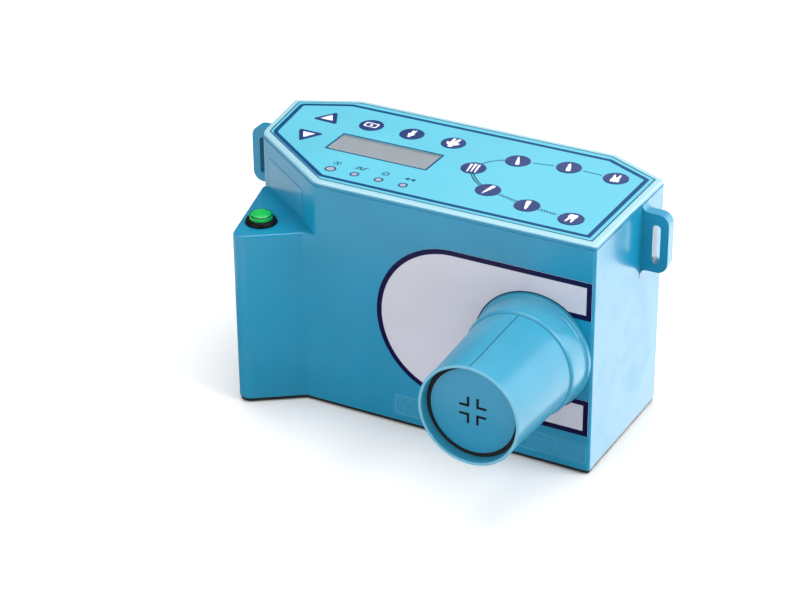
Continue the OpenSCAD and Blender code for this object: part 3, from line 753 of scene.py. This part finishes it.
# Inks of the sheets that are built here; some sheets are painted shade and painted highlight
# lines, not print.
INK = {
    "border": ink("border_ink", BORDER_BLUE),
    "white": ink("white_ink", (0.78, 0.79, 0.82), 0.4),
    "line": ink("line_ink", (0.01, 0.11, 0.17)),
    # Fine dark ink of the signs and twin lines, also used for painted shadow lines at the
    # film's edge and along the cone's seams.
    "fine": ink("dark_ink_and_shadow_lines", (0.005, 0.05, 0.09)),
    "decal": ink("decal_ink", DECAL_NAVY, 0.25),
    # Painted highlight along the clear strip's cut edge.
    "strip_edge_highlight": ink("label_edge_highlight", EDGE_HIGHLIGHT_BLUE, 0.3),
    # Painted shade line round the exposure button's shoulder.
    "cap_shade_line": ink("cap_shade_edge", (0.0, 0.02, 0.005), 0.3),
}
# Nodes that look different from the rest of their slot; the cone and its collar get a paler
# copy of the case plastic as painted light.
NODE_FINISH = {
    "cone_tube": cone_plastic("cone_blue", 0.42, 0.25),
    "cone_collar": cone_plastic("collar_blue", 0.38, 0.35),
    "button_bezel": moulded("bezel_black", (0.002, 0.002, 0.003), 0.5, 0.012, FINE_GRAIN,
                            0.03, dust=0.0, specular=0.2),
    "aim_marks": ink("mark_black", (0.003, 0.003, 0.004), 0.5),
}


# ---- CAD nodes --------------------------------------------------------------

# Rounding of the visible edges, in millimetres.
EDGE_WIDTH = {
    "case_shell": 0.25, "panel_plate": 0.12, "cone_collar": 0.25, "cone_tube": 0.2,
    "button_bezel": 0.25, "button_cap": 0.15, "cone_cap": 0.1, "switch_bezel": 0.4,
    "switch_rocker": 0.3, "charge_socket": 0.2, "rubber_feet": 0.3, "base_plate": 0.2,
    "tank_body": 0.4, "tank_cover": 0.4, "heat_sink": 0.2, "battery_tray": 0.3,
}
KEY_EDGE = 0.15
FLAT_ANGLE = 0.4        # degrees; flatter triangles are joined into one face
AREA_WEIGHT = 90        # how much large faces set the shading normals


def dress_nodes():
    """Gives every CAD node its finish, softened edges and level, smooth shading."""
    weld, smooth = weld_group(), smooth_group()
    for part in frame["record"]["subparts"]:
        name = part["node"]
        node = NODES[name]
        node.data.materials.clear()
        finish = NODE_FINISH.get(name) or SLOT_FINISH[part["material_slot"]]
        node.data.materials.append(finish)
        node.modifiers.new("weld", "NODES").node_group = weld
        flat = node.modifiers.new("flat_faces", "DECIMATE")
        flat.decimate_type = "DISSOLVE"
        flat.angle_limit = math.radians(FLAT_ANGLE)
        width = KEY_EDGE if name.startswith("key_") else EDGE_WIDTH.get(name)
        if width:
            add_bevel(node, width)
        node.modifiers.new("smooth", "NODES").node_group = smooth
        level = node.modifiers.new("level", "WEIGHTED_NORMAL")
        level.weight = AREA_WEIGHT
        level.keep_sharp = True


# ---- panel print ------------------------------------------------------------

RIM_W = 4.45            # from the edge of the case to the edge of the film
CORNER_LOSS = 0.65      # the film's rounded left corner falls this short of the case
BORDER_W = 2.7          # width of the navy line round the film
BORDER_T = 0.05         # thickness of borders and of the print on the keys
LINE_T = 0.04           # thickness of lines and signs


def print_on_panel(name, loops, ink_name, thickness=LINE_T, place=facing_up()):
    """Sheet on the panel film: print, and for the gap line round the film a painted shadow."""
    add_sheet(name, loops, place, thickness, INK[ink_name], "case")


def print_on_key(name, loops, place, key):
    """White printed sheet that rides on a key."""
    add_sheet(name, loops, place, BORDER_T, INK["white"], key)


def case_corners():
    """Corners of the case seen from above, from front right counter-clockwise.

    The offsets are how far the two rear corners and the grip side are cut off.
    """
    low, high = box_mm("panel_plate")
    x0, x1 = low.x - RIM_W - CORNER_LOSS, high.x + RIM_W
    y0, y1 = low.y - RIM_W, high.y + RIM_W
    return [
        (x1, y0), (x1, y1 - 18.5), (x1 - 37.5, y1), (x0 + 37.7, y1),
        (x0, y1 - 17.5), (x0 + 6.7, y0 + 45), (x0 + 68.2, y0),
    ]


def panel_border():
    """Navy line that runs round the panel film, one inset a side and one radius a corner."""
    insets = [7.2, 7.3, 8.4, 6.9, 6.6, 5.5, 7.4]
    radii = [1, 1, 1.5, 1.5, 4, 8, 8]
    outer = inset_corners(case_corners(), insets)
    inner = inset_corners(case_corners(), [inset + BORDER_W for inset in insets])
    inner_radii = [max(radius - BORDER_W, 0.5) for radius in radii]
    print_on_panel("panel_border", [rounded(outer, radii), rounded(inner, inner_radii)],
                   "border", BORDER_T)


def panel_gap_shadow():
    """Painted shadow: a fine dark line where the film ends short of the rim, standing for the
    shade in the gap.
    """
    loops = [rounded(inset_corners(case_corners(), [RIM_W + inset] * 7), 1.0)
             for inset in (0.05, 0.6)]
    print_on_panel("panel_gap_shadow", loops, "fine")


def display_border():
    """Line round the display opening."""
    low, high = box_mm("display_window")
    gap, line = 0.15, 1.15
    outer = rectangle(low.x, high.x, low.y, high.y, gap + line)
    inner = rectangle(low.x, high.x, low.y, high.y, gap)
    print_on_panel("display_border", [rounded(outer, 0.5), inner], "border", BORDER_T)


def led_rings():
    """Dark printed ring round each indicator window."""
    gap, width = 0.02, 1.03
    loops = []
    for node in ("led_left", "led_mid_left", "led_mid_right", "led_right"):
        low, high = box_mm(node)
        c, r = (low + high) / 2, (high.x - low.x) / 2
        loops += [circle(r + gap + width, c.x, c.y), circle(r + gap, c.x, c.y)]
    print_on_panel("led_rings", loops, "border", BORDER_T)


# Signs above the lights: plain ones in the place of the captions.

SIGN_W = 0.75           # line width of the signs
SIGN_UP = 8.4           # from a light to its sign, towards the back


def power_sign():
    """Open ring with a bar through the gap."""
    arc = circle(1.9, steps=20, start=120, turn=300)
    return [stroke(arc, SIGN_W), stroke([(0, 0.4), (0, 2.6)], SIGN_W)]


def ray_sign():
    """Dot with six rays."""
    ray = stroke([(1.5, 0), (2.7, 0)], SIGN_W)
    return [circle(0.9, steps=16)] + [moved(ray, turn=60 * k) for k in range(6)]


def run_sign():
    """Two arrow heads."""
    head = rounded([(-1.4, -1.7), (1.7, 0), (-1.4, 1.7)], 0.2)
    return [moved(head, x=dx) for dx in (-1.8, 1.8)]


def check_sign():
    """Square wave, one bar for each of its steps."""
    steps = [(-3.6, -1.2), (-1.8, -1.2), (-1.8, 1.2), (0.4, 1.2), (0.4, -1.2),
             (2.2, -1.2), (2.2, 1.2), (3.6, 1.2)]
    return [stroke(lengthened(a, b, SIGN_W / 2), SIGN_W)
            for a, b in zip(steps, steps[1:])]


def led_signs():
    """The sign of each light."""
    signs = (("led_left", ray_sign), ("led_mid_left", check_sign),
             ("led_mid_right", power_sign), ("led_right", run_sign))
    for node, sign in signs:
        c = centre_mm(node)
        for k, loop in enumerate(sign()):
            print_on_panel(f"sign_{node}_{k}", [loop], "fine",
                           place=for_operator(c.x, c.y + SIGN_UP))


# Lines that join the round keys.

LINE_W = 1.0            # plain line
PAIR_GAP = 0.72         # each twin line from the middle of the pair
PAIR_W = 0.8            # width of a twin line
KEY_CLEAR = 7.8         # lines stop this far from the middle of a key
DASH_PITCH = 1.9
DASH_L = 1.2
DASH_W = 0.85
ROW_GAP = 0.6           # each row of dashes from the middle of the two


def key_xy(name):
    """Middle of a key seen from above."""
    c = centre_mm(name)
    return c.x, c.y


def clear_of_keys(path):
    """The part of a path between two key centres that lies outside both keys."""
    keys = (Vector(path[0]), Vector(path[-1]))
    fine = [Vector(a).lerp(Vector(b), k / 20) for a, b in zip(path, path[1:])
            for k in range(20)]
    return [p for p in fine if min((p - key).length for key in keys) > KEY_CLEAR]


def dashes(a, b):
    """Short strokes in two staggered rows between two key centres."""
    start, end = Vector(a), Vector(b)
    along = (end - start).normalized()
    side = Vector((-along.y, along.x))
    total = (end - start).length - 2 * KEY_CLEAR
    loops = []
    for row in (-1, 1):
        for k in range(int(total / DASH_PITCH)):
            reach = KEY_CLEAR + (k + 0.2 * row + 0.2) * DASH_PITCH
            p = start + along * reach + side * ROW_GAP * row
            loops.append(stroke([p, p + along * DASH_L], DASH_W))
    return loops


def branch_lines():
    """One branch of plain lines and one of fine twin lines and dashes."""
    root = key_xy("key_lower_1")
    up = [key_xy(f"key_upper_{k}") for k in (1, 2, 3)]
    low = [key_xy(f"key_lower_{k}") for k in (2, 3, 4)]
    bend = curve_to(root, (1, 11), (-10, -1), up[0])
    for k, path in enumerate((bend, up[:2], up[1:])):
        print_on_panel(f"branch_upper_{k}", [stroke(clear_of_keys(path), LINE_W)], "line")
    bend = curve_to(root, (2, -9), (-10, 5), low[0])
    for k, side in enumerate((-1, 1)):
        twin = stroke(side_step(clear_of_keys(bend), side * PAIR_GAP), PAIR_W)
        print_on_panel(f"branch_lower_{k}", [twin], "fine")
    for k, (a, b) in enumerate(zip(low, low[1:])):
        print_on_panel(f"branch_dashes_{k}", dashes(a, b), "fine")


# ---- key icons --------------------------------------------------------------
# Each icon is a list of printed areas, and each area is a list of its outlines.

def tooth(width, height, roots, cusps, taper=0.5):
    """Side view of a tooth: crown up, one or two roots down."""
    half, neck = width / 2, width * 0.38
    crown = height * 0.4
    top = []
    for k in range(cusps * 6 + 1):
        t = k / (cusps * 6)
        x = -half * 0.9 + width * 0.9 * t
        top.append((x, crown + 0.12 * width * abs(math.sin(math.pi * cusps * t))))
    right = [(half, crown * 0.6), (half * 0.92, crown * 0.2), (neck, -crown * 0.2)]
    base = crown - height
    if roots == 1:
        foot = [(neck * taper, base * 0.7), (neck * 0.1, base)]
    else:
        foot = [(neck * 1.1, base * 0.6), (neck * 0.95, base), (neck * 0.6, base * 0.95),
                (neck * 0.18, base * 0.3)]
    side = right + foot
    loop = top + side + [(-x, y) for x, y in side[::-1]]
    return [[moved(loop, y=height / 2 - crown)]]


def person(size, stout):
    """Plain figure of a standing person; stout widens the body and spreads the arms."""
    head = circle(0.12 * size * stout ** 0.5, 0, 0.4 * size, 16)
    half = [(0.06, 0.29), (0.17, 0.26), (0.25, 0.0), (0.17, -0.02), (0.13, 0.08),
            (0.13, -0.2), (0.14, -0.5), (0.04, -0.5), (0.02, -0.16)]
    body = half + [(-x, y) for x, y in half[::-1]]
    body = [(x * size * stout, y * size) for x, y in body]
    return [[head], [rounded(body, 0.012 * size, 3)]]


def sensor():
    """Frame of a small sensor plate with a dot in it."""
    outside = rounded(rectangle(-4.4, 4.4, -2.9, 2.9), 1.3)
    inside = rounded(rectangle(-3.5, 3.5, -2.0, 2.0), 0.7)
    return [[outside, inside], [circle(1.0, 0, 0, 16)]]


def bars():
    """Three upright bars, the middle one a little higher."""
    bar = rounded([(-0.3, -5.4), (0.4, -5.4), (0.85, 5.2), (-0.65, 5.2)], 0.2, 3)
    return [[moved(bar, x=2.3 * k, y=-0.6 * k * k)] for k in (-1, 0, 1)]


def key_icons():
    """White print on each key, turned by the degrees given, riding on that key."""
    icons = {
        "key_preset": (sensor(), 0),
        "key_child": (person(9.6, 0.95), 0),
        "key_adult": (person(11.0, 1.6), 0),
        "key_lower_1": (bars(), 190),
        "key_lower_2": (tooth(2.5, 11.4, 1, 1, 0.6), 168),
        "key_lower_3": (tooth(2.9, 10.6, 1, 1, 0.8), 192),
        "key_lower_4": (tooth(5.4, 9.0, 2, 2), 180),
        "key_upper_1": (tooth(2.4, 10.6, 1, 1, 0.6), 20),
        "key_upper_2": (tooth(2.8, 10.0, 1, 2, 0.8), 16),
        "key_upper_3": (tooth(5.4, 9.0, 2, 3), 8),
    }
    for node, (areas, turn) in icons.items():
        place = for_operator(*key_xy(node), box_mm(node)[1].z)
        for k, area in enumerate(areas):
            loops = [moved(loop, turn=turn) for loop in area]
            print_on_key(f"icon_{node}_{k}", loops, place, node)


ARROW_RIM = 0.9         # flange of an arrow key outside its cap


def arrow_faces():
    """White middle of each arrow key: a triangle half the size of the key.

    Its middle is 0.58 of half its side from the base and 1.16 from the apex.
    """
    for node, way in (("key_up", -1), ("key_down", 1)):
        low, high = box_mm(node)
        apex = high.y - ARROW_RIM if way > 0 else low.y + ARROW_RIM
        depth = high.y - low.y - 2 * ARROW_RIM
        half = depth * 0.31
        place = facing_up((low.x + high.x) / 2, apex - way * depth * 0.63, high.z)
        face = rounded([(-half, -half * 0.58), (half, -half * 0.58), (0, half * 1.16)], 0.3, 4)
        print_on_key("face_" + node, [moved(face, turn=0 if way > 0 else 180)], place, node)


def cap_shade_line():
    """Painted shade: a dark line round the shoulder of the exposure button, a little proud of
    it, where the groove's shadow falls.
    """
    low, high = box_mm("button_cap")
    c, radius = (low + high) / 2, (high.x - low.x) / 2
    drop, height = 1.05, 0.45
    loops = [circle(radius - inset, c.x, c.y) for inset in (0.25, 0.65)]
    add_sheet("cap_shade_line", loops, facing_up(z=high.z - drop), height,
              INK["cap_shade_line"], "button")


# ---- front ------------------------------------------------------------------

ARM_UP = 25.0           # inner edges of the decal's arms above and below its middle
ARM_DOWN = 25.6
DECAL_LINE = 3.1        # width of the navy border
# The hair line round the cone stands for the collar's contact shadow on the decal: painted
# shade.
CONE_SHADE_LINE = 0.5         # and of its hair line round the cone
CONE_GAP = 0.6          # between the collar and the decal
TIP_R = 30.0            # outside radius of the cone tube at its straight end
TIP_L = 12.0            # length of that end
SEAM_START = 0.3        # the seams start this far in front of the collar
SEAM_STOP = 0.8         # and stop this far short of the tip


def decal_contour(inset, cut_inset):
    """Outline of the front decal moved in by inset, and by cut_inset round the cone."""
    low, high = box_mm("front_decal")
    radius = (high.z - low.z) / 2
    cx, cz = low.x + radius, (low.z + high.z) / 2
    right = high.x - inset
    r = radius - inset
    above, below = cz + ARM_UP + inset, cz - ARM_DOWN - inset
    collar = box_mm("cone_collar")
    cut = (collar[1].x - collar[0].x) / 2 + CONE_GAP + cut_inset
    up = math.degrees(math.asin((above - CONE_C.z) / cut))
    down = math.degrees(math.asin((CONE_C.z - below) / cut))
    hole = circle(cut, CONE_C.x, CONE_C.z, 60, up, 360 - up - down)
    left = circle(r, cx, cz, 60, 90, 180)
    return ([(right, above), (right, cz + r)] + left + [(right, cz - r),
            (right, below)] + hole[::-1])


def decal_border():
    """Navy border of the front decal; round the cone it is cut down to a hair line that stands
    for the collar's contact shadow, painted shade.
    """
    loops = [decal_contour(0.0, 0.0), decal_contour(DECAL_LINE, CONE_SHADE_LINE)]
    add_sheet("decal_border", loops, facing_front(box_mm("front_decal")[0].y), 0.06,
              INK["decal"], "case")


def strip_edge_highlight():
    """Painted highlight: a pale line along the cut edge of the clear strip under the decal."""
    low, high = box_mm("front_strip")
    loops = [rectangle(low.x, high.x, low.z, high.z, grow) for grow in (0.0, -0.3)]
    add_sheet("strip_edge_highlight", loops, facing_front(low.y), 0.03,
              INK["strip_edge_highlight"], "case")


def seam_mesh(name, profile, turn):
    """Bar with the given section laid along the cone tube, turned about its axis."""
    low, high = box_mm("cone_tube")
    collar_y = box_mm("cone_collar")[0].y
    stations = ((collar_y - SEAM_START, high.z - CONE_C.z), (low.y + TIP_L, TIP_R),
                (low.y + SEAM_STOP, TIP_R))
    bm = bmesh.new()
    rows = [[bm.verts.new((x, y, r + z)) for x, z in profile] for y, r in stations]
    for a, b in zip(rows, rows[1:]):
        for k in range(len(profile)):
            n = (k + 1) % len(profile)
            bm.faces.new((a[k], b[k], b[n], a[n]))
    bm.faces.new(rows[0])
    bm.faces.new(rows[-1][::-1])
    bmesh.ops.recalc_face_normals(bm, faces=bm.faces)
    mesh = bpy.data.meshes.new(name)
    bm.to_mesh(mesh)
    bm.free()
    centre = Matrix.Translation(Vector((CONE_C.x, 0, CONE_C.z)))
    mesh.transform(Matrix.Scale(MM, 4) @ centre @ Matrix.Rotation(turn, 4, "Y"))
    return mesh


def cone_seams():
    """Mould seam along the top and bottom of the tube: a low ridge and its shadow line."""
    ridge = [(-1.1, -0.3), (-0.9, 0.1), (0.0, 0.22), (0.1, 0.1), (0.1, -0.3)]
    line = [(0.15, -0.3), (0.15, 0.1), (0.55, 0.1), (0.55, -0.3)]
    for side, turn in (("top", 0.0), ("bottom", math.pi)):
        for kind, section, material in (("ridge", ridge, NODE_FINISH["cone_tube"]),
                                        ("line", line, INK["fine"])):
            name = f"seam_{kind}_{side}"
            add_piece(name, seam_mesh(name, section, turn), material, "case")


# ---- stage, in metres -------------------------------------------------------

# Camera solved from the edges of the case and the panel; angles in degrees.
TARGET = Vector((-0.01633, -0.02631, 0.063))
DISTANCE = 1.4223
AZIMUTH, ELEVATION, ROLL = 28.57, 28.48, -0.52
LENS, SENSOR = 109.84, 36.0     # millimetres


def add_floor():
    """Seamless pale sweep: floor that curves up behind the object."""
    f = Finish("paper_sweep", (0.9, 0.9, 0.9), 0.8, specular=0.2)
    f.shade(f.noise(3, 3), 0.99, 1.01)
    f.bump(f.noise(300, 3), 0.05, 0.2)
    near, far, rise, bend, half = -4.0, 5.0, 5.0, 2.0, 6.0
    profile = [(near, 0.0), (far - bend, 0.0)]
    profile += [(far - bend + bend * math.sin(a), bend - bend * math.cos(a))
                for a in (math.radians(6 * k) for k in range(1, 16))]
    profile.append((far, rise))
    bm = bmesh.new()
    rows = [[bm.verts.new((x, y, z)) for x in (-half, half)] for y, z in profile]
    for a, b in zip(rows, rows[1:]):
        bm.faces.new((a[0], a[1], b[1], b[0]))
    mesh = bpy.data.meshes.new("sweep")
    bm.to_mesh(mesh)
    bm.free()
    for polygon in mesh.polygons:
        polygon.use_smooth = True
    floor = add_stage_mesh("sweep", mesh, f.done())
    floor.visible_glossy = False


def add_stage_mesh(name, mesh, material):
    """Links a mesh that belongs to the stage and not to the unit."""
    piece = bpy.data.objects.new(name, mesh)
    bpy.context.scene.collection.objects.link(piece)
    mesh.materials.append(material)
    return piece


def add_card(name, place, width, height, strength, aim):
    """White card that only shows in reflections, facing along aim."""
    mesh = bpy.data.meshes.new(name)
    w, h = width / 2, height / 2
    mesh.from_pydata([(-w, -h, 0), (w, -h, 0), (w, h, 0), (-w, h, 0)], [], [(0, 1, 2, 3)])
    material = bpy.data.materials.new(name)
    material.use_nodes = True
    tree = material.node_tree
    tree.nodes.clear()
    glow = tree.nodes.new("ShaderNodeEmission")
    glow.inputs["Strength"].default_value = strength
    sink = tree.nodes.new("ShaderNodeOutputMaterial")
    tree.links.new(glow.outputs[0], sink.inputs[0])
    card = add_stage_mesh(name, mesh, material)
    card.location = place
    card.rotation_euler = Vector(aim).to_track_quat("Z", "Y").to_euler()
    for ray in ("camera", "diffuse", "shadow", "transmission"):
        setattr(card, "visible_" + ray, False)


def add_light(name, place, size, power):
    """Square area light aimed at the middle of the unit."""
    data = bpy.data.lights.new(name, "AREA")
    data.size = size
    data.energy = power
    lamp = bpy.data.objects.new(name, data)
    lamp.location = place
    aim = TARGET - Vector(place)
    lamp.rotation_euler = aim.to_track_quat("-Z", "Y").to_euler()
    lamp.visible_camera = False
    bpy.context.scene.collection.objects.link(lamp)


def add_world(strength, mirrored):
    """Even studio light; reflections see it at the mirrored strength."""
    world = bpy.data.worlds.new("studio")
    world.use_nodes = True
    tree = world.node_tree
    sky = tree.nodes["Background"]
    sky.inputs["Color"].default_value = (1.0, 1.0, 1.0, 1)
    path = tree.nodes.new("ShaderNodeLightPath")
    level = tree.nodes.new("ShaderNodeMapRange")
    level.inputs["To Min"].default_value = strength
    level.inputs["To Max"].default_value = mirrored
    tree.links.new(path.outputs["Is Glossy Ray"], level.inputs["Value"])
    tree.links.new(level.outputs[0], sky.inputs["Strength"])
    bpy.context.scene.world = world


def add_lights():
    """Three soft boxes, four cards for the pale reflections and an even sky."""
    add_light("key_box", (1.5, 0.1, 1.1), 1.2, 26)
    add_light("top_box", (-0.1, 0.2, 1.9), 1.5, 21)
    add_light("front_fill", (-0.9, -2.2, 1.3), 1.4, 20)
    add_card("side_card", (0.7, 1.0, -0.05), 1.6, 1.7, 2.5, (-0.7, -1.0, 0))
    add_card("left_card", (-0.68, 0.15, 0.002), 0.9, 1.1, 0.7, (0, 0, 1))
    add_card("back_card", (-0.15, 1.6, 1.05), 1.3, 1.1, 0.7, (0.1, -1, -0.6))
    add_card("front_card", (0, -0.6, 0.002), 1.6, 0.74, 0.9, (0, 0, 1))
    add_world(0.66, 0.12)
    bpy.context.scene.view_settings.view_transform = "Standard"


def add_camera():
    """Camera that looks at TARGET from the photo's direction, with the photo's roll."""
    azimuth, elevation, roll = (math.radians(a) for a in (AZIMUTH, ELEVATION, ROLL))
    away = Vector((math.sin(azimuth) * math.cos(elevation),
                   -math.cos(azimuth) * math.cos(elevation), math.sin(elevation)))
    level = Vector((math.cos(azimuth), math.sin(azimuth), 0))
    rise = away.cross(level)
    right = level * math.cos(roll) + rise * math.sin(roll)
    up = rise * math.cos(roll) - level * math.sin(roll)
    data = bpy.data.cameras.new("camera")
    data.sensor_width = SENSOR
    data.lens = LENS
    data.clip_end = 100.0
    camera = bpy.data.objects.new("camera", data)
    turn = Matrix((right, up, away)).transposed().to_4x4()
    camera.matrix_world = Matrix.Translation(TARGET + away * DISTANCE) @ turn
    bpy.context.scene.collection.objects.link(camera)
    bpy.context.scene.camera = camera


# ---- build ------------------------------------------------------------------

dress_nodes()
panel_border()
panel_gap_shadow()
display_border()
led_rings()
led_signs()
branch_lines()
key_icons()
arrow_faces()
cap_shade_line()
decal_border()
cone_seams()
strip_edge_highlight()
add_floor()
add_lights()
add_camera()
